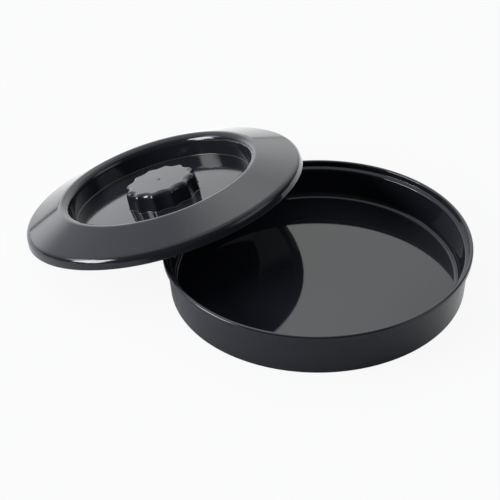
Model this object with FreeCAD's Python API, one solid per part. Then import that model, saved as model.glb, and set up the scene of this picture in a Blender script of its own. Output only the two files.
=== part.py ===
"""Tortilla warmer: a shallow round base and a lid with a fluted knob, both injection mouldings.

Millimetres, +Z up. The origin is the centre of the base's foot. The lid is off: its low edge
stands on the table towards -X, and the underside of its recessed floor lies on the base's rim.
"""
import FreeCAD
import Part
import math
import os

# ---- base: a tray with a rolled rim, a stacking ledge and a foot ring ----
rim_radius = 95.0
base_height = 29.0
rim_width = 2.5
rim_band = 3.7
rim_rounding = 1.1
band_edge_rounding = 0.5
ledge_depth = 3.9
ledge_fall = 1.2
ledge_rounding = 1.6
ledge_corner = 0.5
foot_inset = 3.5
foot_rounding = 1.3
foot_width = 7.0
foot_recess = 0.8
foot_inner_rounding = 0.3
base_draft = 3.1
base_wall = 2.8
base_floor = 2.4
floor_rounding = 4.0

# ---- lid: turned-down edge, sloping brim, rounded crest, recess and flat floor ----
lid_inset = 0.8
edge_height = 6.2
edge_flare = 10.0
edge_rounding = 4.8
edge_foot_rounding = 0.6
brim_slope = 19.3
crest_rounding = 5.5
recess_floor_radius = 60.9
recess_floor_height = 0.5
recess_draft = 2.0
recess_corner = 0.7
lid_wall = 2.2
lid_floor = 2.2
rib_width = 2.0
rib_depth = 1.2
rib_clearance = 0.6
rib_rounding = 0.4
inner_rounding = 1.5

# ---- knob: hollow, drafted, with concave flutes between narrow ridges ----
knob_radius = 24.8
knob_height = 12.0
knob_draft = 5.0
knob_flutes = 12
flute_depth = 2.0
ridge_angle = 4.0
first_ridge = 25.0
knob_foot_rounding = 0.7
knob_rounding = 3.6
rounding_steps = 5
knob_wall = 2.6
pocket_rounding = 1.5
gate_radius = 1.3
gate_depth = 0.3

# ---- resting place of the lid ----
lean_angle = 15.4
rest_clearance = 0.3

# ---- what follows from the sizes above ----
foot_radius = rim_radius - foot_inset
lid_radius = rim_radius - lid_inset
rib_outer_radius = rim_radius - rim_width - rib_clearance
underside_height = recess_floor_height - lid_floor


def along_draft(length, degrees):
    """How far a face drafted by so many degrees moves sideways over a length."""
    return length * math.tan(math.radians(degrees))


def rounded_outline(corners):
    """A closed wire in the XZ plane. Each corner is its radius, its height and its rounding."""
    points = [FreeCAD.Vector(radius, 0, height) for radius, height, _ in corners]
    count = len(corners)
    trims = []
    for index, (_, _, rounding) in enumerate(corners):
        corner = points[index]
        back = (points[index - 1] - corner).normalize()
        ahead = (points[(index + 1) % count] - corner).normalize()
        half = back.getAngle(ahead) / 2
        reach = rounding / math.tan(half)
        start = corner + back * reach
        end = corner + ahead * reach
        middle = corner + (back + ahead).normalize() * (rounding / math.sin(half) - rounding)
        trims.append((start, middle, end, rounding))
    edges = []
    for index, (start, middle, end, rounding) in enumerate(trims):
        next_start = trims[(index + 1) % count][0]
        if rounding > 0:
            edges.append(Part.Arc(start, middle, end).toShape())
        edges.append(Part.LineSegment(end, next_start).toShape())
    return Part.Wire(edges)


def turned(corners):
    """The solid that an outline sweeps around the Z axis."""
    section = Part.Face(rounded_outline(corners))
    return section.revolve(FreeCAD.Vector(0, 0, 0), FreeCAD.Vector(0, 0, 1), 360)


def make_base():
    """The tray, from the middle of its foot recess round its wall and back along its floor."""
    band_bottom = base_height - rim_band
    wall_top_radius = foot_radius + along_draft(band_bottom, base_draft)
    rim_inner_radius = rim_radius - rim_width
    ledge_height = base_height - ledge_depth
    ledge_edge = ledge_height - ledge_fall
    ledge_radius = foot_radius + along_draft(ledge_edge, base_draft) - base_wall
    floor_height = foot_recess + base_floor
    floor_radius = foot_radius + along_draft(floor_height, base_draft) - base_wall
    foot_inner_radius = foot_radius - foot_width
    return turned([
        (0, foot_recess, 0),
        (foot_inner_radius, foot_recess, foot_inner_rounding),
        (foot_inner_radius, 0, foot_inner_rounding),
        (foot_radius, 0, foot_rounding),
        (wall_top_radius, band_bottom, 0),
        (rim_radius, band_bottom, band_edge_rounding),
        (rim_radius, base_height, rim_rounding),
        (rim_inner_radius, base_height, rim_rounding),
        (rim_inner_radius, ledge_height, ledge_corner),
        (ledge_radius, ledge_edge, ledge_rounding),
        (floor_radius, floor_height, floor_rounding),
        (0, floor_height, 0),
    ])


def crest_corner(edge_radius):
    """Where the brim and the recess's wall would meet: its radius and height, left unrounded."""
    brim_fall = math.tan(math.radians(brim_slope))
    wall_lean = math.tan(math.radians(recess_draft))
    axis_height = edge_height + edge_radius * brim_fall
    axis_radius = recess_floor_radius + (axis_height - recess_floor_height) * wall_lean
    radius = axis_radius / (1 + brim_fall * wall_lean)
    return radius, axis_height - radius * brim_fall


def make_lid_shell():
    """The lid without its knob. Height 0 is the seat that stands on the base's rim."""
    edge_radius = lid_radius - along_draft(edge_height, edge_flare)
    crest_radius, crest_height = crest_corner(edge_radius)
    rib_inner_radius = rib_outer_radius - rib_width

    half_corner = math.radians((90 + recess_draft - brim_slope) / 2)
    inward = math.radians(brim_slope) + half_corner
    ceiling_radius = crest_radius + lid_wall / math.sin(half_corner) * math.cos(inward)
    ceiling_height = crest_height - lid_wall / math.sin(half_corner) * math.sin(inward)
    ceiling_fall = along_draft(rib_inner_radius - ceiling_radius, brim_slope)
    underside_radius = ceiling_radius - along_draft(ceiling_height - underside_height, recess_draft)
    return turned([
        (0, recess_floor_height, 0),
        (recess_floor_radius, recess_floor_height, recess_corner),
        (crest_radius, crest_height, crest_rounding),
        (edge_radius, edge_height, edge_rounding),
        (lid_radius, 0, edge_foot_rounding),
        (rib_outer_radius, 0, 0),
        (rib_outer_radius, -rib_depth, rib_rounding),
        (rib_inner_radius, -rib_depth, rib_rounding),
        (rib_inner_radius, ceiling_height - ceiling_fall, inner_rounding),
        (ceiling_radius, ceiling_height, crest_rounding - lid_wall),
        (underside_radius, underside_height, inner_rounding),
        (0, underside_height, 0),
    ])


def flute_outline(ridge_radius, height):
    """The knob's outline at one height: short ridges joined by concave flutes."""
    def at(radius, degrees):
        angle = math.radians(degrees)
        return FreeCAD.Vector(radius * math.cos(angle), radius * math.sin(angle), height)

    pitch = 360.0 / knob_flutes
    half_ridge = ridge_angle / 2
    valley_radius = ridge_radius - flute_depth
    edges = []
    for ridge in range(knob_flutes):
        middle = first_ridge + ridge * pitch
        ridge_start = at(ridge_radius, middle - half_ridge)
        ridge_end = at(ridge_radius, middle + half_ridge)
        next_ridge = at(ridge_radius, middle + pitch - half_ridge)
        edges.append(Part.Arc(ridge_start, at(ridge_radius, middle), ridge_end).toShape())
        edges.append(Part.Arc(ridge_end, at(valley_radius, middle + pitch / 2), next_ridge).toShape())
    return Part.Wire(edges)


def knob_profile():
    """The ridge radius and height of each level of the knob, from its foot to its top."""
    turns = [math.radians(90.0 * step / rounding_steps) for step in range(rounding_steps + 1)]
    shoulder = knob_height - knob_rounding
    shoulder_radius = knob_radius - along_draft(shoulder, knob_draft)
    buried = -lid_floor / 2
    levels = [(knob_radius + knob_foot_rounding, buried)]
    for turn in turns:
        radius = knob_radius + knob_foot_rounding * (1 - math.sin(turn))
        levels.append((radius, knob_foot_rounding * (1 - math.cos(turn))))
    for turn in turns:
        radius = shoulder_radius - knob_rounding * (1 - math.cos(turn))
        levels.append((radius, shoulder + knob_rounding * math.sin(turn)))
    return [(radius, recess_floor_height + height) for radius, height in levels]


def make_knob():
    """The fluted knob, from inside the lid's floor up to its top, with the gate's dimple."""
    body = Part.makeLoft([flute_outline(*level) for level in knob_profile()], True, True)
    dimple_floor = recess_floor_height + knob_height - gate_depth
    return body.cut(Part.makeCylinder(gate_radius, gate_depth, FreeCAD.Vector(0, 0, dimple_floor)))


def make_knob_pocket():
    """The hollow under the knob, open through the lid's floor."""
    pocket_top = recess_floor_height + knob_height - knob_wall
    top_radius = knob_radius - along_draft(knob_height, knob_draft) - flute_depth - knob_wall
    bottom_radius = top_radius + along_draft(pocket_top - underside_height, knob_draft)
    return turned([
        (0, underside_height, 0),
        (bottom_radius, underside_height, 0),
        (top_radius, pocket_top, pocket_rounding),
        (0, pocket_top, 0),
    ])


def make_lid():
    """The whole lid moulding about its own axis, with its seat at height 0."""
    moulding = make_lid_shell().fuse(make_knob()).cut(make_knob_pocket())
    return moulding.removeSplitter().Solids[0]


def lean(lid):
    """Set the lid down with its low edge on the table and its floor over the base's rim."""
    slope = math.radians(lean_angle)
    rib_reach = rib_outer_radius * math.sin(slope) + rib_depth * math.cos(slope)
    seat_height = max(rib_reach, lid_radius * math.sin(slope))
    rim_reach = (
        (rim_radius - rim_rounding) * math.sin(slope)
        + (base_height - rim_rounding) * math.cos(slope)
        + rim_rounding
    )
    centre_reach = rim_reach + rest_clearance - underside_height
    offset = (centre_reach - seat_height * math.cos(slope)) / math.sin(slope)
    placed = lid.copy()
    placed.Placement = FreeCAD.Placement(
        FreeCAD.Vector(-offset, 0, seat_height),
        FreeCAD.Rotation(FreeCAD.Vector(0, 1, 0), -lean_angle),
    )
    return placed


parts = {
    "base": make_base(),
    "lid": lean(make_lid()),
}
os.makedirs("parts", exist_ok=True)
for node, shape in parts.items():
    shape.exportStep(os.path.join("parts", node + ".step"))
    box = shape.optimalBoundingBox(False)
    spans = (box.XMin, box.XMax, box.YMin, box.YMax, box.ZMin, box.ZMax)
    print(node, shape.ShapeType, "valid", shape.isValid(), "volume", round(shape.Volume))
    print("  x %.2f %.2f  y %.2f %.2f  z %.2f %.2f" % spans)
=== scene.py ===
"""Tortilla warmer: the finished look of the moulded base and lid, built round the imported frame.

Sections are drawn in millimetres, as the mouldings are. Meshes, lamps and camera are in metres.
"""
import logging
import math
from dataclasses import dataclass, field
from enum import Enum

import bpy
from mathutils import Matrix, Quaternion, Vector


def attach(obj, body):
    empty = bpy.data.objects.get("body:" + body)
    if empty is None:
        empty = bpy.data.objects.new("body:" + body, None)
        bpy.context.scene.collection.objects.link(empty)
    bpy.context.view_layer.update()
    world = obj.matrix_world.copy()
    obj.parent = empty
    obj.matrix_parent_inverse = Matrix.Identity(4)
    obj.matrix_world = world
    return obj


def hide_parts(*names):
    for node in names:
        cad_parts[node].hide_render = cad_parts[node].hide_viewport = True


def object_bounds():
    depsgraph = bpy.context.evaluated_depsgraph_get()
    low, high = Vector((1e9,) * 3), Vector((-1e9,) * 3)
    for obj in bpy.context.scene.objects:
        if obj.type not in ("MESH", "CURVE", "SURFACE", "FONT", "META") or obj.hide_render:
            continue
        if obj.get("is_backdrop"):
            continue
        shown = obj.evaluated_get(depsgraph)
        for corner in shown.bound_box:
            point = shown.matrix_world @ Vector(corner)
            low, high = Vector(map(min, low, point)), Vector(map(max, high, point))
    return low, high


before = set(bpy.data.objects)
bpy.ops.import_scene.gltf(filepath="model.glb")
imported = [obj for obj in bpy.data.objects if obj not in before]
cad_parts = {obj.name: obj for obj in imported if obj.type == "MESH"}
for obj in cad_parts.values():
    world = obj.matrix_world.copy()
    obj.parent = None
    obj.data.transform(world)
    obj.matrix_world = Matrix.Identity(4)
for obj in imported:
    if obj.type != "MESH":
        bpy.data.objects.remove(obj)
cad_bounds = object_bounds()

MM = 0.001
TURN_STEPS = 360
WHITE = (1.0, 1.0, 1.0)
SIZE_DIGITS = 5

Colour = tuple[float, float, float]
Numbers = tuple[tuple[str, float], ...]
Window = tuple[float, float]
Socket = bpy.types.NodeSocket

log = logging.getLogger("tortilla_warmer")


class Zone(Enum):
    """The differently finished faces of the two mouldings."""

    BASE_INSIDE = "base_inside"
    BASE_RIM = "base_rim"
    BASE_OUTSIDE = "base_outside"
    BASE_UNDERSIDE = "base_underside"
    LID_RECESS = "lid_recess"
    LID_BRIM = "lid_brim"
    LID_EDGE = "lid_edge"
    LID_UNDERSIDE = "lid_underside"


# ---------------------------------------------------------------- turned sections


def along_draft(length: float, degrees: float) -> float:
    """How far a face drafted by so many degrees moves sideways over a length."""
    return length * math.tan(math.radians(degrees))


@dataclass(frozen=True)
class Corner:
    """One corner of a section, in millimetres. The face that leaves it has its zone's finish."""

    radius: float
    height: float
    rounding: float
    zone: Zone
    flute: float = 0.0


@dataclass(frozen=True)
class Ring:
    """One level of a turned mesh, in millimetres. Its flute is the share of the full depth."""

    radius: float
    height: float
    zone: Zone
    flute: float = 0.0


@dataclass(frozen=True)
class Section:
    """A section from axis to axis, which becomes rings close enough to shade as the real curve.

    A face longer than long_face has rings at least every reach, and one a hold from each end.
    """

    corners: tuple[Corner, ...]
    arc_angle: float = 9.0
    fewest_arc_steps: int = 3
    hold: float = 0.18
    long_face: float = 0.72
    reach: float = 7.0

    def rings(self) -> list[Ring]:
        """Walk the section, round its corners and split its long faces.

        Returns:
            The rings in the section's order, with one ring on the axis at each end.
        """
        rings = [self._ring(self.corners[0], self._point(0))]
        for index in range(1, len(self.corners) - 1):
            rings.extend(self._corner_rings(index))
        rings.append(self._ring(self.corners[-1], self._point(len(self.corners) - 1)))
        return self._split(rings)

    def _point(self, index: int) -> Vector:
        """The corner's place in the section's plane."""
        corner = self.corners[index]
        return Vector((corner.radius, corner.height))

    @staticmethod
    def _ring(corner: Corner, point: Vector) -> Ring:
        """A ring at a point, with the finish and flutes of a corner."""
        return Ring(point.x, point.y, corner.zone, corner.flute)

    def _corner_rings(self, index: int) -> list[Ring]:
        """Round one corner.

        Args:
            index: The corner's number in the section.

        Returns:
            The rings of its arc, or the one ring of a sharp corner.
        """
        corner = self.corners[index]
        point = self._point(index)
        if corner.rounding <= 0:
            return [self._ring(corner, point)]
        back = (self._point(index - 1) - point).normalized()
        ahead = (self._point(index + 1) - point).normalized()
        half = back.angle(ahead) / 2
        reach = corner.rounding / math.tan(half)
        centre = point + (back + ahead).normalized() * (corner.rounding / math.sin(half))
        start = point + back * reach - centre
        end = point + ahead * reach - centre
        turn = start.angle_signed(end)
        steps = max(self.fewest_arc_steps, round(abs(math.degrees(turn)) / self.arc_angle))
        rings = []
        for step in range(steps + 1):
            spoke = start.copy()
            spoke.rotate(Matrix.Rotation(-turn * step / steps, 2))
            rings.append(self._ring(corner, centre + spoke))
        return rings

    def _split(self, rings: list[Ring]) -> list[Ring]:
        """Add rings inside each long face, so that the face shades flat.

        Args:
            rings: The rings of the corners alone.

        Returns:
            The same rings with the added ones between them.
        """
        split = [rings[0]]
        for before, after in zip(rings, rings[1:]):
            start = Vector((before.radius, before.height))
            span = Vector((after.radius, after.height)) - start
            length = span.length
            if length > self.long_face:
                inner = length - 2 * self.hold
                spans = max(1, math.ceil(inner / self.reach))
                for station in range(spans + 1):
                    share = (self.hold + inner * station / spans) / length
                    place = start + span * share
                    flute = before.flute + (after.flute - before.flute) * share
                    split.append(Ring(place.x, place.y, before.zone, flute))
            split.append(after)
        return split


@dataclass(frozen=True)
class Flutes:
    """The knob's grip: concave flutes between narrow ridges, evenly spaced.

    The ridges are softened over so many degrees to each side.
    """

    count: int = 12
    first_ridge: float = 25.0
    ridge_angle: float = 4.0
    ridge_radius: float = 24.4
    depth: float = 2.0
    softening: float = 2.6
    softening_steps: int = 3

    def _cut(self, degrees: float) -> float:
        """Measure how far the sharp outline lies inside the ridge circle.

        Args:
            degrees: The angle about the axis.

        Returns:
            The depth at that angle, in millimetres.
        """
        pitch = 360.0 / self.count
        from_ridge = abs((degrees - self.first_ridge + pitch / 2) % pitch - pitch / 2)
        if from_ridge <= self.ridge_angle / 2:
            return 0.0
        valley = self.ridge_radius - self.depth
        edge = math.radians(pitch / 2 - self.ridge_angle / 2)
        centre = self.ridge_radius**2 - valley**2
        centre /= 2 * (self.ridge_radius * math.cos(edge) - valley)
        off = math.radians(pitch / 2 - from_ridge)
        chord = math.sqrt((centre - valley) ** 2 - (centre * math.sin(off)) ** 2)
        return self.ridge_radius - (centre * math.cos(off) - chord)

    def radius(self, ring: Ring, degrees: float) -> float:
        """The fluted radius of a ring, with its ridges softened.

        Args:
            ring: The ring, whose radius is that of its ridges.
            degrees: The angle about the axis.

        Returns:
            The radius at that angle, in millimetres.
        """
        if ring.flute <= 0:
            return ring.radius
        steps = self.softening_steps
        offsets = [self.softening * step / steps for step in range(-steps, steps + 1)]
        cuts = [self._cut(degrees + offset) for offset in offsets]
        return ring.radius - ring.flute * sum(cuts) / len(cuts)


@dataclass(frozen=True)
class Seat:
    """Where a moulding's own axis stands in the row frame: shifted, and leaning about Y."""

    x: float = 0.0
    z: float = 0.0
    lean: float = 0.0

    def matrix(self) -> Matrix:
        """Work out the move to the row frame.

        Returns:
            The move, from the moulding's own millimetres to the frame's metres.
        """
        place = Matrix.Translation(Vector((self.x, 0.0, self.z)) * MM)
        lean = Matrix.Rotation(math.radians(-self.lean), 4, "Y")
        return place @ lean @ Matrix.Scale(MM, 4)


def add_object(name: str, data: bpy.types.ID) -> bpy.types.Object:
    """Make an object and link it to the scene.

    Args:
        name: The object's name.
        data: Its mesh, lamp or camera.

    Returns:
        The object.
    """
    made = bpy.data.objects.new(name, data)
    bpy.context.scene.collection.objects.link(made)
    return made


@dataclass(frozen=True)
class TurnedShell:
    """The closed shell that rings sweep round the axis of a seat, fluted where they ask for it."""

    rings: list[Ring]
    seat: Seat
    flutes: Flutes | None = None

    def zones(self) -> list[Zone]:
        """The zones in use, in the order of the shell's material slots."""
        return list(dict.fromkeys(ring.zone for ring in self.rings[:-1]))

    def build(self, name: str) -> bpy.types.Object:
        """Make the shell's object.

        Args:
            name: The object's name.

        Returns:
            The object, smooth, with one material index for each zone in use.
        """
        faces, finish = self._faces()
        mesh = bpy.data.meshes.new(name)
        mesh.from_pydata(self._points(), [], faces)
        mesh.polygons.foreach_set("material_index", finish)
        mesh.polygons.foreach_set("use_smooth", [True] * len(faces))
        mesh.update()
        return add_object(name, mesh)

    def _points(self) -> list[Vector]:
        """Place the shell's points.

        Returns:
            The first pole, ring after ring, and the last pole.
        """
        place = self.seat.matrix()
        angles = [360.0 * step / TURN_STEPS for step in range(TURN_STEPS)]
        turns = [math.radians(angle) for angle in angles]
        spokes = [(math.cos(turn), math.sin(turn)) for turn in turns]
        points = [place @ Vector((0.0, 0.0, self.rings[0].height))]
        for ring in self.rings[1:-1]:
            for angle, (east, north) in zip(angles, spokes):
                radius = self.flutes.radius(ring, angle) if self.flutes else ring.radius
                points.append(place @ Vector((radius * east, radius * north, ring.height)))
        points.append(place @ Vector((0.0, 0.0, self.rings[-1].height)))
        return points

    def _faces(self) -> tuple[list[tuple[int, ...]], list[int]]:
        """Join the points into faces.

        Returns:
            The faces as numbers of points, and the material index of each.
        """
        zones = self.zones()
        slots = [zones.index(ring.zone) for ring in self.rings[:-1]]
        bands = len(self.rings) - 2
        last_ring = 1 + (bands - 1) * TURN_STEPS
        last_pole = last_ring + TURN_STEPS
        faces: list[tuple[int, ...]] = []
        finish: list[int] = []
        for step in range(TURN_STEPS):
            after = (step + 1) % TURN_STEPS
            faces.append((0, 1 + step, 1 + after))
            for band in range(bands - 1):
                low, high = 1 + band * TURN_STEPS, 1 + (band + 1) * TURN_STEPS
                faces.append((low + step, high + step, high + after, low + after))
            faces.append((last_pole, last_ring + after, last_ring + step))
            finish.extend(slots)
        return faces, finish


# ---------------------------------------------------------------- node trees


@dataclass
class Wiring:
    """Places and links the nodes of one tree, left to right."""

    tree: bpy.types.NodeTree
    spacing: tuple[float, float] = (180.0, -140.0)
    rows: int = 4
    column: int = 0

    def node(self, kind: str, **settings: object) -> bpy.types.Node:
        """Add a node and set its properties.

        Args:
            kind: The node's type.
            settings: Its properties, by name.

        Returns:
            The node.
        """
        made = self.tree.nodes.new(kind)
        self.column += 1
        across, down = self.spacing
        made.location = (across * self.column, down * (self.column % self.rows))
        for key, value in settings.items():
            setattr(made, key, value)
        return made

    def join(self, source: Socket, target: Socket) -> None:
        """Link an output to an input."""
        self.tree.links.new(source, target)

    def feed(self, target: Socket, value: object) -> None:
        """Link an input, or set a plain value on it.

        Args:
            target: The input.
            value: The output to link, or the value.
        """
        if isinstance(value, Socket):
            self.join(value, target)
        else:
            target.default_value = value

    def math(self, operation: str, *values: object, clamp: bool = False) -> Socket:
        """Add a Math node.

        Args:
            operation: What the node does.
            values: The outputs or numbers that it is fed with.
            clamp: Whether its result is kept between 0 and 1.

        Returns:
            Its output.
        """
        made = self.node("ShaderNodeMath", operation=operation, use_clamp=clamp)
        for target, value in zip(made.inputs, values):
            self.feed(target, value)
        return made.outputs[0]

    def multiply(self, vector: Socket, factors: tuple[float, float, float]) -> Socket:
        """Multiply a vector part by part.

        Args:
            vector: The vector.
            factors: The factor of each part.

        Returns:
            The product.
        """
        made = self.node("ShaderNodeVectorMath", operation="MULTIPLY")
        self.join(vector, made.inputs[0])
        made.inputs[1].default_value = factors
        return made.outputs["Vector"]

    def reach(self, vector: Socket, way: Vector) -> Socket:
        """Measure how far a vector reaches along a fixed direction.

        Args:
            vector: The vector.
            way: The direction, one unit long.

        Returns:
            The length of that reach.
        """
        made = self.node("ShaderNodeVectorMath", operation="DOT_PRODUCT")
        self.join(vector, made.inputs[0])
        made.inputs[1].default_value = way
        return made.outputs["Value"]

    def stretch(self, vector: Socket, size: object) -> Socket:
        """Divide a vector by a length.

        Args:
            vector: The vector.
            size: The length, as an output or a number.

        Returns:
            The vector, one unit of which is that long.
        """
        made = self.node("ShaderNodeVectorMath", operation="SCALE")
        self.join(vector, made.inputs[0])
        self.feed(made.inputs["Scale"], self.math("DIVIDE", 1.0, size))
        return made.outputs["Vector"]

    def noise(
        self, vector: Socket, detail: float, roughness: float = 0.5, distortion: float = 0.0
    ) -> Socket:
        """Add a Noise texture one unit in scale.

        Args:
            vector: Where the texture is read.
            detail: How many finer layers it has.
            roughness: How strong the finer layers are.
            distortion: How far it is smeared.

        Returns:
            Its value.
        """
        made = self.node("ShaderNodeTexNoise")
        self.join(vector, made.inputs["Vector"])
        made.inputs["Scale"].default_value = 1.0
        made.inputs["Detail"].default_value = detail
        made.inputs["Roughness"].default_value = roughness
        made.inputs["Distortion"].default_value = distortion
        return made.outputs[0]

    def cells(self, vector: Socket, feature: str, scale: float = 1.0) -> bpy.types.Node:
        """Add a Voronoi texture.

        Args:
            vector: Where the texture is read.
            feature: What is measured of its cells.
            scale: How many cells one unit holds.

        Returns:
            The texture's node.
        """
        made = self.node("ShaderNodeTexVoronoi", feature=feature)
        self.join(vector, made.inputs["Vector"])
        made.inputs["Scale"].default_value = scale
        return made

    def window(self, value: object, low: float, high: float) -> Socket:
        """Rise smoothly from 0 to 1.

        Args:
            value: The output or number to judge.
            low: Where the result is 0.
            high: Where the result is 1.

        Returns:
            The result.
        """
        made = self.node("ShaderNodeMapRange", interpolation_type="SMOOTHSTEP")
        self.feed(made.inputs["Value"], value)
        made.inputs["From Min"].default_value = low
        made.inputs["From Max"].default_value = high
        return made.outputs["Result"]

    def blend(self, mask: Socket, under: object, over: object) -> Socket:
        """Mix two colours by a mask.

        Args:
            mask: The share of the second colour.
            under: The first colour, as an output or four numbers.
            over: The second colour.

        Returns:
            The mixed colour.
        """
        made = self.node("ShaderNodeMix", data_type="RGBA")
        under_socket, over_socket = [one for one in made.inputs if one.type == "RGBA"]
        self.join(mask, made.inputs["Factor"])
        self.feed(under_socket, under)
        self.feed(over_socket, over)
        return next(one for one in made.outputs if one.type == "RGBA")

    def plainly_seen(self, path: bpy.types.Node) -> Socket:
        """Whether a ray comes from the camera, straight or through something clear."""
        straight, through = path.outputs["Is Camera Ray"], path.outputs["Is Transmission Ray"]
        return self.math("MAXIMUM", straight, through)

    def finish(self, kind: str, shader: Socket, target: str = "Surface") -> None:
        """Add the tree's own output node and end the tree in it."""
        self.join(shader, self.node(kind).inputs[target])


def bare_wiring(owner: bpy.types.ID) -> Wiring:
    """Switch on and clear the nodes of a material, lamp or world.

    Args:
        owner: The material, lamp or world.

    Returns:
        The wiring of its empty tree.
    """
    owner.use_nodes = True
    owner.node_tree.nodes.clear()
    return Wiring(owner.node_tree)


# ---------------------------------------------------------------- shared effects


@dataclass(frozen=True)
class Effect:
    """A node group that several finishes share: a place and some numbers in, one value out.

    Lengths are in metres. A window is where its value starts to rise and where it is full.
    """

    name: str
    output: str
    numbers: Numbers

    def tree(self) -> bpy.types.NodeTree:
        """Build the group with its sockets and nodes.

        Returns:
            The group's tree.
        """
        tree = bpy.data.node_groups.new(self.name, "ShaderNodeTree")
        add = tree.interface.new_socket
        add(name="Place", in_out="INPUT", socket_type="NodeSocketVector")
        for label, start in self.numbers:
            socket = add(name=label, in_out="INPUT", socket_type="NodeSocketFloat")
            socket.default_value = start
        add(name=self.output, in_out="OUTPUT", socket_type="NodeSocketFloat")
        wiring = Wiring(tree)
        value = self.draw(wiring, wiring.node("NodeGroupInput"))
        wiring.finish("NodeGroupOutput", value, self.output)
        return tree

    def draw(self, wiring: Wiring, given: bpy.types.Node) -> Socket:
        """Add the effect's own nodes.

        Args:
            wiring: The group's wiring.
            given: The group's input node.

        Returns:
            The effect's value.
        """
        raise NotImplementedError


@dataclass(frozen=True)
class MouldGrain(Effect):
    """The texture that an eroded mould face leaves: fine pits of a given size and depth."""

    name: str = "mould_grain"
    output: str = "Height"
    numbers: Numbers = (("Size", 0.0004), ("Depth", 2e-6))
    detail: float = 3.0
    roughness: float = 0.6
    pit_scale: float = 0.8
    pit_share: float = 0.6

    def draw(self, wiring: Wiring, given: bpy.types.Node) -> Socket:
        """Add noise and rounded pits.

        Args:
            wiring: The group's wiring.
            given: The group's input node.

        Returns:
            The height.
        """
        fine = wiring.stretch(given.outputs["Place"], given.outputs["Size"])
        pits = wiring.cells(fine, "SMOOTH_F1", self.pit_scale).outputs["Distance"]
        noise = wiring.noise(fine, self.detail, self.roughness)
        grain = wiring.math("ADD", noise, wiring.math("MULTIPLY", pits, self.pit_share))
        return wiring.math("MULTIPLY", grain, given.outputs["Depth"])


@dataclass(frozen=True)
class SinkWaves(Effect):
    """The slow waves of a cooled moulding, which bend long reflections a little."""

    name: str = "sink_waves"
    output: str = "Height"
    numbers: Numbers = (("Length", 0.03), ("Depth", 2e-5))
    detail: float = 1.0
    roughness: float = 0.4

    def draw(self, wiring: Wiring, given: bpy.types.Node) -> Socket:
        """Add one slow noise.

        Args:
            wiring: The group's wiring.
            given: The group's input node.

        Returns:
            The height.
        """
        slow = wiring.stretch(given.outputs["Place"], given.outputs["Length"])
        waves = wiring.noise(slow, self.detail, self.roughness)
        return wiring.math("MULTIPLY", waves, given.outputs["Depth"])


@dataclass(frozen=True)
class Stroke:
    """One set of scratches: their direction in radians, and their length and width."""

    turn: float
    length: float
    width: float


@dataclass(frozen=True)
class Hairlines(Effect):
    """Fine scratches from stacking and wiping, in two directions and in patches."""

    name: str = "hairlines"
    output: str = "Mask"
    numbers: Numbers = (("Amount", 0.3),)
    strokes: tuple[Stroke, Stroke] = (Stroke(0.5, 0.03, 0.00022), Stroke(2.1, 0.02, 0.0003))
    stroke_window: Window = (0.74, 0.8)
    patch_size: float = 0.022
    patch_detail: float = 2.0
    patch_window: Window = (0.45, 0.65)

    def draw(self, wiring: Wiring, given: bpy.types.Node) -> Socket:
        """Add long thin noise in each direction, in patches.

        Args:
            wiring: The group's wiring.
            given: The group's input node.

        Returns:
            The mask.
        """
        place = given.outputs["Place"]
        lines = [self._lines(wiring, place, stroke) for stroke in self.strokes]
        patchy = wiring.noise(wiring.stretch(place, self.patch_size), self.patch_detail)
        patches = wiring.window(patchy, *self.patch_window)
        shown = wiring.math("MULTIPLY", wiring.math("MAXIMUM", *lines), patches)
        return wiring.math("MULTIPLY", shown, given.outputs["Amount"], clamp=True)

    def _lines(self, wiring: Wiring, place: Socket, stroke: Stroke) -> Socket:
        """The scratches of one direction.

        Args:
            wiring: The group's wiring.
            place: Where the surface is.
            stroke: The scratches' direction and size.

        Returns:
            Their mask.
        """
        turned = wiring.node("ShaderNodeVectorRotate", rotation_type="Z_AXIS")
        wiring.join(place, turned.inputs["Vector"])
        turned.inputs["Angle"].default_value = stroke.turn
        factors = (1 / stroke.length, 1 / stroke.width, 1 / stroke.length)
        long = wiring.multiply(turned.outputs["Vector"], factors)
        return wiring.window(wiring.noise(long, 0.0), *self.stroke_window)


@dataclass(frozen=True)
class Smudges(Effect):
    """Wiped finger marks: soft, smeared patches that dull the gloss."""

    name: str = "smudges"
    output: str = "Mask"
    numbers: Numbers = (("Size", 0.02), ("Amount", 0.5))
    detail: float = 4.0
    roughness: float = 0.5
    smear: float = 1.4
    mark_window: Window = (0.48, 0.72)

    def draw(self, wiring: Wiring, given: bpy.types.Node) -> Socket:
        """Add smeared noise, cut to its highest patches.

        Args:
            wiring: The group's wiring.
            given: The group's input node.

        Returns:
            The mask.
        """
        near = wiring.stretch(given.outputs["Place"], given.outputs["Size"])
        smeared = wiring.noise(near, self.detail, self.roughness, self.smear)
        marks = wiring.window(smeared, *self.mark_window)
        return wiring.math("MULTIPLY", marks, given.outputs["Amount"], clamp=True)


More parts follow.
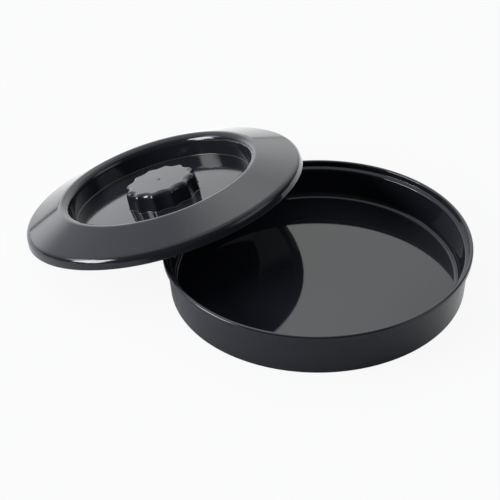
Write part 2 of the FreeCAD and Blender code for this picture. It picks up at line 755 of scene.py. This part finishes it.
@dataclass(frozen=True)
class Dust(Effect):
    """A few specks of dust on the faces that look up."""

    name: str = "dust"
    output: str = "Mask"
    numbers: Numbers = (("Spacing", 0.004), ("Amount", 0.5))
    speck_window: Window = (0.05, 0.02)
    chosen_window: Window = (0.72, 0.76)
    level_window: Window = (0.3, 0.8)

    def draw(self, wiring: Wiring, given: bpy.types.Node) -> Socket:
        """Add specks in the middle of some cells, where the surface is level enough.

        Args:
            wiring: The group's wiring.
            given: The group's input node.

        Returns:
            The mask.
        """
        near = wiring.stretch(given.outputs["Place"], given.outputs["Spacing"])
        specks = wiring.cells(near, "F1")
        dots = wiring.window(specks.outputs["Distance"], *self.speck_window)
        few = wiring.window(specks.outputs["Color"], *self.chosen_window)
        facing = wiring.node("ShaderNodeSeparateXYZ")
        wiring.join(wiring.node("ShaderNodeNewGeometry").outputs["Normal"], facing.inputs[0])
        level = wiring.window(facing.outputs["Z"], *self.level_window)
        lying = wiring.math("MULTIPLY", wiring.math("MULTIPLY", dots, few), level)
        return wiring.math("MULTIPLY", lying, given.outputs["Amount"], clamp=True)


@dataclass(frozen=True)
class RubbedEdges(Effect):
    """Where handling rubs the outward edges: a broken mask along the sharp curves."""

    name: str = "rubbed_edges"
    output: str = "Mask"
    numbers: Numbers = (("Amount", 0.5),)
    sharp_window: Window = (0.52, 0.6)
    break_size: float = 0.006
    detail: float = 4.0
    roughness: float = 0.6
    break_window: Window = (0.4, 0.62)

    def draw(self, wiring: Wiring, given: bpy.types.Node) -> Socket:
        """Find the sharp curves and break them up by noise.

        Args:
            wiring: The group's wiring.
            given: The group's input node.

        Returns:
            The mask.
        """
        curve = wiring.node("ShaderNodeNewGeometry").outputs["Pointiness"]
        sharp = wiring.window(curve, *self.sharp_window)
        near = wiring.stretch(given.outputs["Place"], self.break_size)
        noise = wiring.noise(near, self.detail, self.roughness)
        broken = wiring.window(noise, *self.break_window)
        rubbed = wiring.math("MULTIPLY", sharp, broken)
        return wiring.math("MULTIPLY", rubbed, given.outputs["Amount"], clamp=True)


@dataclass
class Workshop:
    """Builds each shared effect once, and places it in the finishes."""

    groups: dict[str, bpy.types.NodeTree] = field(default_factory=dict)

    def place(self, wiring: Wiring, effect: Effect, **values: object) -> Socket:
        """Put an effect in a material.

        Args:
            wiring: The material's wiring.
            effect: The effect.
            values: What its inputs are fed with, by input name.

        Returns:
            The effect's value.
        """
        if effect.name not in self.groups:
            self.groups[effect.name] = effect.tree()
        made = wiring.node("ShaderNodeGroup", node_tree=self.groups[effect.name])
        for label, value in values.items():
            wiring.feed(made.inputs[label], value)
        return made.outputs[effect.output]


# ---------------------------------------------------------------- finishes


@dataclass(frozen=True)
class Finish:
    """One moulded finish of the black plastic. Lengths are in metres."""

    name: str
    colour: Colour = (0.0125, 0.0138, 0.0182)
    rubbed_colour: Colour = (0.03, 0.03, 0.032)
    dust_colour: Colour = (0.32, 0.31, 0.29)
    ior: float = 1.49
    roughness: float = 0.06
    smudge_gain: float = 0.05
    hairline_gain: float = 0.12
    dust_gain: float = 0.5
    smudge_size: float = 0.022
    grain_size: float = 0.0005
    grain_depth: float = 1e-6
    wave_length: float = 0.035
    wave_depth: float = 2e-5
    hairline_depth: float = 1.5e-6
    smudge_amount: float = 0.6
    hairline_amount: float = 0.5
    dust_amount: float = 0.6
    rub_amount: float = 0.4

    def material(self, workshop: Workshop) -> bpy.types.Material:
        """Build the material of this finish.

        Args:
            workshop: Where the shared effects come from.

        Returns:
            The material, with varying colour, roughness and relief.
        """
        made = bpy.data.materials.new(self.name)
        wiring = bare_wiring(made)
        place = wiring.node("ShaderNodeTexCoord").outputs["Object"]
        rub = workshop.place(wiring, RubbedEdges(), Place=place, Amount=self.rub_amount)
        dust = workshop.place(wiring, Dust(), Place=place, Amount=self.dust_amount)
        lines = workshop.place(wiring, Hairlines(), Place=place, Amount=self.hairline_amount)
        smudge = workshop.place(
            wiring, Smudges(), Place=place, Size=self.smudge_size, Amount=self.smudge_amount
        )
        grain = workshop.place(
            wiring, MouldGrain(), Place=place, Size=self.grain_size, Depth=self.grain_depth
        )
        waves = workshop.place(
            wiring, SinkWaves(), Place=place, Length=self.wave_length, Depth=self.wave_depth
        )
        rubbed = wiring.blend(rub, (*self.colour, 1.0), (*self.rubbed_colour, 1.0))
        dusty = wiring.blend(dust, rubbed, (*self.dust_colour, 1.0))
        dulled = wiring.math("MULTIPLY_ADD", smudge, self.smudge_gain, self.roughness)
        scratched = wiring.math("MULTIPLY_ADD", lines, self.hairline_gain, dulled)
        covered = wiring.math("MULTIPLY_ADD", dust, self.dust_gain, scratched, clamp=True)
        cut = wiring.math("MULTIPLY", lines, -self.hairline_depth)
        relief = wiring.math("ADD", wiring.math("ADD", grain, waves), cut)

        bump = wiring.node("ShaderNodeBump")
        bump.inputs["Strength"].default_value = 1.0
        bump.inputs["Distance"].default_value = 1.0
        wiring.join(relief, bump.inputs["Height"])
        shader = wiring.node("ShaderNodeBsdfPrincipled")
        shader.inputs["IOR"].default_value = self.ior
        wiring.join(dusty, shader.inputs["Base Color"])
        wiring.join(covered, shader.inputs["Roughness"])
        wiring.join(bump.outputs["Normal"], shader.inputs["Normal"])
        wiring.finish("ShaderNodeOutputMaterial", shader.outputs["BSDF"])
        return made


FINISHES: dict[Zone, Finish] = {
    Zone.BASE_INSIDE: Finish("polished_inside", roughness=0.045),
    Zone.BASE_RIM: Finish("rolled_rim", roughness=0.12, rub_amount=0.6, hairline_amount=0.7),
    Zone.BASE_OUTSIDE: Finish(
        "satin_wall", roughness=0.28, grain_depth=2.5e-6, smudge_gain=0.08
    ),
    Zone.BASE_UNDERSIDE: Finish(
        "matt_foot", roughness=0.42, grain_depth=5e-6, hairline_amount=1.0, dust_amount=0.0
    ),
    Zone.LID_RECESS: Finish("polished_recess", roughness=0.07),
    Zone.LID_BRIM: Finish("fine_brim", roughness=0.065, grain_depth=1.4e-6),
    Zone.LID_EDGE: Finish("polished_edge", roughness=0.055, rub_amount=0.6),
    Zone.LID_UNDERSIDE: Finish(
        "lid_underside", roughness=0.2, grain_depth=2.5e-6, dust_amount=0.0
    ),
}


# ---------------------------------------------------------------- mouldings


@dataclass
class Moulding:
    """One injection moulding, which stands for the CAD node and body of its own name."""

    name: str
    slot: str
    seat: Seat
    flutes: Flutes | None = None

    def section(self) -> Section:
        """The moulding's section."""
        raise NotImplementedError

    def build(self, workshop: Workshop) -> bpy.types.Object:
        """Turn the section, dress its zones and tie it to the frame.

        Args:
            workshop: Where the shared effects come from.

        Returns:
            The dressed object.
        """
        shell = TurnedShell(self.section().rings(), self.seat, self.flutes)
        made = shell.build(self.name + "_moulding")
        for zone in shell.zones():
            made.data.materials.append(FINISHES[zone].material(workshop))
        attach(made, self.name)
        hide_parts(self.name)
        return made


@dataclass
class Base(Moulding):
    """The round tray: foot ring, drafted wall, rolled rim, stacking ledge and floor."""

    name: str = "base"
    slot: str = "base_plastic"
    seat: Seat = Seat()
    rim_radius: float = 95.0
    height: float = 29.0
    rim_width: float = 2.5
    rim_band: float = 3.7
    rim_rounding: float = 1.1
    band_edge_rounding: float = 0.5
    band_root_rounding: float = 0.25
    ledge_depth: float = 3.9
    ledge_fall: float = 1.2
    ledge_rounding: float = 1.6
    ledge_corner: float = 0.5
    foot_radius: float = 91.5
    foot_width: float = 7.0
    foot_recess: float = 0.8
    foot_rounding: float = 1.3
    foot_inner_rounding: float = 0.3
    draft: float = 3.1
    wall: float = 2.8
    floor: float = 2.4
    floor_rounding: float = 4.0
    gate_radius: float = 4.0
    gate_depth: float = 0.35
    gate_mouth_rounding: float = 0.12
    gate_corner: float = 0.15
    nib_radius: float = 0.9
    nib_height: float = 0.25
    nib_rounding: float = 0.08

    def section(self) -> Section:
        """From the gate mark under the tray, round its wall and back along its floor."""
        return Section((*self._underside(), *self._wall(), *self._inside()))

    def _underside(self) -> tuple[Corner, ...]:
        """Draw the gate mark's nib and pit, and the recess within the foot ring.

        Returns:
            The corners from the axis outwards.
        """
        gate_top = self.foot_recess + self.gate_depth
        nib_bottom = gate_top - self.nib_height
        foot_inner = self.foot_radius - self.foot_width
        zone = Zone.BASE_UNDERSIDE
        return (
            Corner(0.0, nib_bottom, 0.0, zone),
            Corner(self.nib_radius, nib_bottom, self.nib_rounding, zone),
            Corner(self.nib_radius, gate_top, self.nib_rounding, zone),
            Corner(self.gate_radius, gate_top, self.gate_corner, zone),
            Corner(self.gate_radius, self.foot_recess, self.gate_mouth_rounding, zone),
            Corner(foot_inner, self.foot_recess, self.foot_inner_rounding, zone),
            Corner(foot_inner, 0.0, self.foot_inner_rounding, zone),
        )

    def _wall(self) -> tuple[Corner, ...]:
        """Draw the foot's outer edge, the wall and the outside of the rim.

        Returns:
            The corners from the foot upwards.
        """
        band_bottom = self.height - self.rim_band
        wall_top = self.foot_radius + along_draft(band_bottom, self.draft)
        outside, rim = Zone.BASE_OUTSIDE, Zone.BASE_RIM
        return (
            Corner(self.foot_radius, 0.0, self.foot_rounding, outside),
            Corner(wall_top, band_bottom, self.band_root_rounding, outside),
            Corner(self.rim_radius, band_bottom, self.band_edge_rounding, rim),
            Corner(self.rim_radius, self.height, self.rim_rounding, rim),
        )

    def _inside(self) -> tuple[Corner, ...]:
        """Draw the inside of the rim, the ledge and the floor.

        Returns:
            The corners from the rim down and in to the axis.
        """
        rim_inner = self.rim_radius - self.rim_width
        ledge_height = self.height - self.ledge_depth
        ledge_edge = ledge_height - self.ledge_fall
        ledge_radius = self.foot_radius + along_draft(ledge_edge, self.draft) - self.wall
        floor_height = self.foot_recess + self.floor
        floor_radius = self.foot_radius + along_draft(floor_height, self.draft) - self.wall
        zone = Zone.BASE_INSIDE
        return (
            Corner(rim_inner, self.height, self.rim_rounding, zone),
            Corner(rim_inner, ledge_height, self.ledge_corner, zone),
            Corner(ledge_radius, ledge_edge, self.ledge_rounding, zone),
            Corner(floor_radius, floor_height, self.floor_rounding, zone),
            Corner(0.0, floor_height, 0.0, zone),
        )


@dataclass
class Lid(Moulding):
    """The lid: fluted knob, recess, rounded crest, sloping brim, turned edge and underside."""

    name: str = "lid"
    slot: str = "lid_plastic"
    seat: Seat = Seat(-114.063, 25.562, 15.4)
    flutes: Flutes | None = Flutes()
    radius: float = 94.2
    edge_height: float = 6.2
    edge_flare: float = 10.0
    edge_rounding: float = 4.8
    edge_foot_rounding: float = 0.6
    brim_slope: float = 19.3
    crest_rounding: float = 5.5
    recess_radius: float = 60.9
    recess_floor: float = 0.5
    recess_draft: float = 2.0
    recess_corner: float = 0.7
    wall: float = 2.2
    floor: float = 2.2
    inner_rounding: float = 1.5
    rib_radius: float = 91.9
    rib_width: float = 2.0
    rib_depth: float = 1.2
    rib_rounding: float = 0.4
    rib_root_rounding: float = 0.2
    knob_radius: float = 24.8
    knob_height: float = 12.0
    knob_draft: float = 5.0
    knob_rounding: float = 3.6
    knob_foot: float = 0.7
    knob_wall: float = 2.6
    flute_depth: float = 2.0
    flute_fade: float = 2.8
    dimple_radius: float = 1.3
    dimple_depth: float = 0.45
    dimple_rounding: float = 0.2
    dimple_floor_share: float = 0.4
    dimple_floor_rounding: float = 0.3
    pocket_rounding: float = 1.5
    pocket_mouth_rounding: float = 0.2

    def section(self) -> Section:
        """Draw the knob's top out to the edge, and back under the brim into the knob's hollow.

        Returns:
            The section.
        """
        edge_radius = self.radius - along_draft(self.edge_height, self.edge_flare)
        crest_radius, crest_height = self._crest(edge_radius)
        recess, brim, edge = Zone.LID_RECESS, Zone.LID_BRIM, Zone.LID_EDGE
        return Section((
            *self._knob(),
            Corner(self.recess_radius, self.recess_floor, self.recess_corner, recess),
            Corner(crest_radius, crest_height, self.crest_rounding, brim),
            Corner(edge_radius, self.edge_height, self.edge_rounding, edge),
            *self._underside(crest_radius, crest_height),
            *self._pocket(),
        ))

    def _knob(self) -> tuple[Corner, ...]:
        """Draw the knob, from the dimple in its top down to its foot on the recess's floor.

        Returns:
            The corners from the axis outwards.
        """
        top = self.recess_floor + self.knob_height
        top_radius = self.knob_radius - along_draft(self.knob_height, self.knob_draft)
        dimple_floor = top - self.dimple_depth
        dimple_inner = self.dimple_radius * self.dimple_floor_share
        zone = Zone.LID_RECESS
        return (
            Corner(0.0, dimple_floor, 0.0, zone),
            Corner(dimple_inner, dimple_floor, self.dimple_floor_rounding, zone),
            Corner(self.dimple_radius, top, self.dimple_rounding, zone),
            Corner(top_radius, top, self.knob_rounding, zone, flute=1.0),
            Corner(self.knob_radius, self.recess_floor, self.knob_foot, zone, flute=1.0),
            Corner(self.knob_radius + self.flute_fade, self.recess_floor, 0.0, zone),
        )

    def _crest(self, edge_radius: float) -> tuple[float, float]:
        """Find where the brim and the recess's wall would meet.

        Args:
            edge_radius: The radius of the corner between the brim and the edge.

        Returns:
            The radius and the height of the crest's corner.
        """
        fall = along_draft(1.0, self.brim_slope)
        lean = along_draft(1.0, self.recess_draft)
        axis_height = self.edge_height + edge_radius * fall
        rise = (axis_height - self.recess_floor) * lean
        radius = (self.recess_radius + rise) / (1 + fall * lean)
        return radius, axis_height - radius * fall

    def _underside(self, crest_radius: float, crest_height: float) -> tuple[Corner, ...]:
        """Draw the edge's foot, the rib, and the hollow under the brim and the crest.

        Args:
            crest_radius: The radius of the crest's corner.
            crest_height: The height of the crest's corner.

        Returns:
            The corners from the edge inwards, as far as the underside of the floor.
        """
        underside = self.recess_floor - self.floor
        half = math.radians((90 + self.recess_draft - self.brim_slope) / 2)
        inward = math.radians(self.brim_slope) + half
        ceiling = crest_radius + self.wall / math.sin(half) * math.cos(inward)
        ceiling_height = crest_height - self.wall / math.sin(half) * math.sin(inward)
        ceiling_rounding = self.crest_rounding - self.wall
        rib_inner = self.rib_radius - self.rib_width
        rib_top = ceiling_height - along_draft(rib_inner - ceiling, self.brim_slope)
        inner = ceiling - along_draft(ceiling_height - underside, self.recess_draft)
        zone = Zone.LID_UNDERSIDE
        return (
            Corner(self.radius, 0.0, self.edge_foot_rounding, zone),
            Corner(self.rib_radius, 0.0, self.rib_root_rounding, zone),
            Corner(self.rib_radius, -self.rib_depth, self.rib_rounding, zone),
            Corner(rib_inner, -self.rib_depth, self.rib_rounding, zone),
            Corner(rib_inner, rib_top, self.inner_rounding, zone),
            Corner(ceiling, ceiling_height, ceiling_rounding, zone),
            Corner(inner, underside, self.inner_rounding, zone),
        )

    def _pocket(self) -> tuple[Corner, ...]:
        """Draw the hollow under the knob.

        Returns:
            The corners from its mouth in the underside up to the axis.
        """
        underside = self.recess_floor - self.floor
        top = self.recess_floor + self.knob_height - self.knob_wall
        top_radius = self.knob_radius - along_draft(self.knob_height, self.knob_draft)
        top_radius -= self.flute_depth + self.knob_wall
        mouth = top_radius + along_draft(top - underside, self.knob_draft)
        zone = Zone.LID_UNDERSIDE
        return (
            Corner(mouth, underside, self.pocket_mouth_rounding, zone),
            Corner(top_radius, top, self.pocket_rounding, zone),
            Corner(0.0, top, 0.0, zone),
        )


# ---------------------------------------------------------------- studio


def direction(azimuth: float, elevation: float) -> Vector:
    """Point in a direction of the row frame.

    Args:
        azimuth: The angle about the vertical, in degrees.
        elevation: The angle above the level, in degrees.

    Returns:
        The unit vector towards it.
    """
    turn, lift = math.radians(azimuth), math.radians(elevation)
    level = math.cos(lift)
    return Vector((level * math.cos(turn), level * math.sin(turn), math.sin(lift)))


@dataclass(frozen=True)
class Lamp:
    """A soft rectangular lamp, aimed at the object from a direction in the row frame.

    Its fade is the share of its half width over which the diffuser darkens towards the border.
    """

    name: str
    azimuth: float
    elevation: float
    distance: float
    size: tuple[float, float]
    radiance: float
    fade: float
    colour: Colour = WHITE
    aim: tuple[float, float, float] = (-0.05, 0.0, 0.02)
    turn: float = 0.0

    def hang(self) -> None:
        """Make the lamp and place it, unseen by the camera itself."""
        width, height = self.size
        light = bpy.data.lights.new(self.name, "AREA")
        light.shape = "RECTANGLE"
        light.size, light.size_y = width, height
        light.color = self.colour
        light.energy = self.radiance * math.pi * width * height
        self._diffuser(light)
        made = add_object(self.name, light)
        toward = direction(self.azimuth, self.elevation)
        made.location = Vector(self.aim) + toward * self.distance
        made.rotation_mode = "QUATERNION"
        spin = Quaternion((0.0, 0.0, 1.0), math.radians(self.turn))
        made.rotation_quaternion = toward.to_track_quat("Z", "Y") @ spin
        made.visible_camera = False

    def _diffuser(self, light: bpy.types.AreaLight) -> None:
        """Darken the lamp smoothly towards its border, as a stretched diffuser does.

        Args:
            light: The lamp's data.
        """
        wiring = bare_wiring(light)
        spot = wiring.node("ShaderNodeSeparateXYZ")
        wiring.join(wiring.node("ShaderNodeNewGeometry").outputs["Parametric"], spot.inputs[0])
        shares = []
        for axis in ("X", "Y"):
            from_middle = wiring.math("MULTIPLY_ADD", spot.outputs[axis], 2.0, -1.0)
            off = wiring.math("ABSOLUTE", from_middle)
            shares.append(wiring.window(off, 1.0, 1.0 - self.fade))
        glow = wiring.node("ShaderNodeEmission")
        wiring.join(wiring.math("MULTIPLY", *shares), glow.inputs["Strength"])
        wiring.finish("ShaderNodeOutputLight", glow.outputs["Emission"])


@dataclass(frozen=True)
class Viewpoint:
    """The camera: its place round the row frame's origin, and where it looks from there."""

    distance: float = 0.7117
    elevation: float = 36.62
    azimuth: float = 28.58
    pan: float = -3.37
    tilt: float = 1.35
    focal_px: float = 1129.5
    frame_px: float = 500.0
    sensor: float = 36.0
    nearest: float = 0.01
    farthest: float = 50.0

    def set_up(self) -> None:
        """Make the scene's camera."""
        level, turn = math.radians(self.elevation), math.radians(self.azimuth)
        right = Vector((math.cos(turn), math.sin(turn), 0.0))
        ahead = Vector((
            -math.sin(turn) * math.cos(level), math.cos(turn) * math.cos(level), -math.sin(level)
        ))
        up = right.cross(ahead)
        pan, tilt = math.radians(self.pan), math.radians(self.tilt)
        panned = ahead * math.cos(pan) + right * math.sin(pan)
        right = right * math.cos(pan) - ahead * math.sin(pan)
        tilted = panned * math.cos(tilt) + up * math.sin(tilt)
        up = up * math.cos(tilt) - panned * math.sin(tilt)
        data = bpy.data.cameras.new("camera")
        data.sensor_width = self.sensor
        data.lens = self.sensor * self.focal_px / self.frame_px
        data.clip_start, data.clip_end = self.nearest, self.farthest
        made = add_object("camera", data)
        turned = Matrix((right, up, -tilted)).transposed()
        made.matrix_world = Matrix.Translation(-ahead * self.distance) @ turned.to_4x4()
        bpy.context.scene.camera = made


@dataclass(frozen=True)
class Surround:
    """The room round the set: a pale sweep behind and above, dimmer towards the front."""

    azimuth: float = 130.0
    elevation: float = 45.0
    front: float = 0.06
    behind: float = 0.9
    dim_from: float = 0.34
    bright_from: float = 0.77
    tint: Colour = (0.97, 0.99, 1.04)

    def hang(self) -> None:
        """Make the world: white where the camera looks, and the room for everything else."""
        world = bpy.data.worlds.new("surround")
        bpy.context.scene.world = world
        wiring = bare_wiring(world)
        way = wiring.node("ShaderNodeTexCoord").outputs["Generated"]
        towards = wiring.reach(way, direction(self.azimuth, self.elevation))
        sweep = wiring.window(towards, self.dim_from, self.bright_from)
        room = wiring.math("MULTIPLY_ADD", sweep, self.behind - self.front, self.front)
        seen = wiring.plainly_seen(wiring.node("ShaderNodeLightPath"))
        glow = wiring.node("ShaderNodeBackground")
        tinted = wiring.blend(seen, (*self.tint, 1.0), (*WHITE, 1.0))
        wiring.join(tinted, glow.inputs["Color"])
        wiring.join(wiring.math("MAXIMUM", seen, room), glow.inputs["Strength"])
        wiring.finish("ShaderNodeOutputWorld", glow.outputs["Background"])


@dataclass(frozen=True)
class Floor:
    """The pale sheet under the object, which the camera sees as nearly white.

    Glossy faces see a painted reflection on it: it glows white for glossy rays alone, behind the
    object out to a straight edge.
    """

    size: float = 9.0
    colour: Colour = (0.52, 0.53, 0.57)
    lift: float = 0.92
    # painted reflection: the strength of the white glow that only glossy rays see on the floor
    glossy_lift: float = 0.95
    reflected_glow_azimuths: tuple[float, float] = (98.0, 78.0)
    reflected_glow_window: Window = (-0.06, 0.09)
    edge_azimuth: float = 200.0
    edge_window: Window = (0.46, 0.44)

    def lay(self) -> None:
        """Make the sheet and its material."""
        half = self.size / 2
        mesh = bpy.data.meshes.new("floor")
        corners = [(-half, -half, 0.0), (half, -half, 0.0), (half, half, 0.0), (-half, half, 0.0)]
        mesh.from_pydata(corners, [], [(0, 1, 2, 3)])
        add_object("floor", mesh)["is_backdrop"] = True
        material = bpy.data.materials.new("pale_floor")
        self._dress(bare_wiring(material))
        mesh.materials.append(material)

    def _dress(self, wiring: Wiring) -> None:
        """Mix the matt sheet, which takes the object's shadow, with its white lift.

        Args:
            wiring: The sheet's wiring.
        """
        path = wiring.node("ShaderNodeLightPath")
        seen = wiring.math("MULTIPLY", wiring.plainly_seen(path), self.lift)
        # painted reflection: glossy rays see the sheet glow white behind the object instead of its
        # shading
        mirrored = wiring.math(
            "MULTIPLY", path.outputs["Is Glossy Ray"], self._towards_back(wiring)
        )
        matt = wiring.node("ShaderNodeBsdfDiffuse")
        matt.inputs["Color"].default_value = (*self.colour, 1.0)
        glow = wiring.node("ShaderNodeEmission")
        mix = wiring.node("ShaderNodeMixShader")
        wiring.join(wiring.math("MAXIMUM", seen, mirrored), mix.inputs["Fac"])
        wiring.join(matt.outputs["BSDF"], mix.inputs[1])
        wiring.join(glow.outputs["Emission"], mix.inputs[2])
        wiring.finish("ShaderNodeOutputMaterial", mix.outputs["Shader"])

    def _towards_back(self, wiring: Wiring) -> Socket:
        """Find how much painted reflection glossy faces see at each place of the floor: a full
        white glow behind the object.

        Args:
            wiring: The sheet's wiring.

        Returns:
            The share of white.
        """
        place = wiring.node("ShaderNodeTexCoord").outputs["Object"]
        reflected_glows = []
        # painted reflection: the glow's zone behind the object, ending at a straight edge
        for azimuth in self.reflected_glow_azimuths:
            reach = wiring.reach(place, direction(azimuth, 0.0))
            reflected_glows.append(wiring.window(reach, *self.reflected_glow_window))
        outward = wiring.reach(place, direction(self.edge_azimuth, 0.0))
        within = wiring.window(outward, *self.edge_window)
        behind = wiring.math("MULTIPLY", wiring.math("MAXIMUM", *reflected_glows), within)
        return wiring.math("MULTIPLY", behind, self.glossy_lift)


@dataclass(frozen=True)
class Studio:
    """The pale floor, the surround and the soft lamps."""

    floor: Floor = Floor()
    surround: Surround = Surround()
    lamps: tuple[Lamp, ...] = (
        Lamp(
            "key_softbox", azimuth=-132.5, elevation=24.5, distance=1.3,
            size=(0.7, 0.58), radiance=16.0, fade=0.25,
        ),
        Lamp(
            "key_spill", azimuth=-151.0, elevation=28.0, distance=1.3,
            size=(0.8, 0.5), radiance=7.0, fade=0.9, colour=(0.78, 0.88, 1.0),
        ),
        Lamp(
            "high_softbox", azimuth=124.0, elevation=50.0, distance=2.2,
            size=(1.5, 1.5), radiance=1.05, fade=0.9, colour=(1.0, 0.99, 0.94),
        ),
        Lamp(
            "back_softbox", azimuth=108.0, elevation=24.0, distance=2.2,
            size=(3.2, 2.8), radiance=0.75, fade=0.85, colour=(1.0, 0.99, 0.94),
        ),
        Lamp(
            "sweep_glow", azimuth=152.0, elevation=5.5, distance=2.6,
            size=(3.4, 1.3), radiance=1.25, fade=0.9,
        ),
        Lamp(
            "fill_card", azimuth=18.0, elevation=32.0, distance=1.5,
            size=(1.5, 1.2), radiance=1.1, fade=0.7, colour=(0.88, 0.94, 1.0),
        ),
        Lamp(
            "lit_sweep", azimuth=90.0, elevation=-90.0, distance=0.02,
            size=(1.5, 0.9), radiance=0.45, fade=0.5, aim=(-0.42, 0.47, 0.022), turn=45.0,
        ),
    )

    def build(self) -> None:
        """Lay the floor, light the scene and set the plain view transform."""
        self.floor.lay()
        self.surround.hang()
        for lamp in self.lamps:
            lamp.hang()
        bpy.context.scene.view_settings.view_transform = "Standard"


def write_sizes() -> None:
    """Keep the CAD box and the visual model's box side by side."""
    bounds = {"cad": cad_bounds, "visual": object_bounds()}
    boxes = {name: [list(corner) for corner in box] for name, box in bounds.items()}
    for name, box in boxes.items():
        low, high = ([round(value, SIZE_DIGITS) for value in corner] for corner in box)
        log.info("%s box %s to %s", name, low, high)


def main() -> None:
    """Build the mouldings and the studio in order, and report each piece."""
    logging.basicConfig(level=logging.INFO, format="%(name)s: %(message)s")
    workshop = Workshop()
    for moulding in (Base(), Lid()):
        made = moulding.build(workshop)
        finishes = [material.name for material in made.data.materials]
        log.info("%s: %d faces, finishes %s", made.name, len(made.data.polygons), finishes)
    Studio().build()
    Viewpoint().set_up()
    write_sizes()


if __name__ == "__main__":
    main()
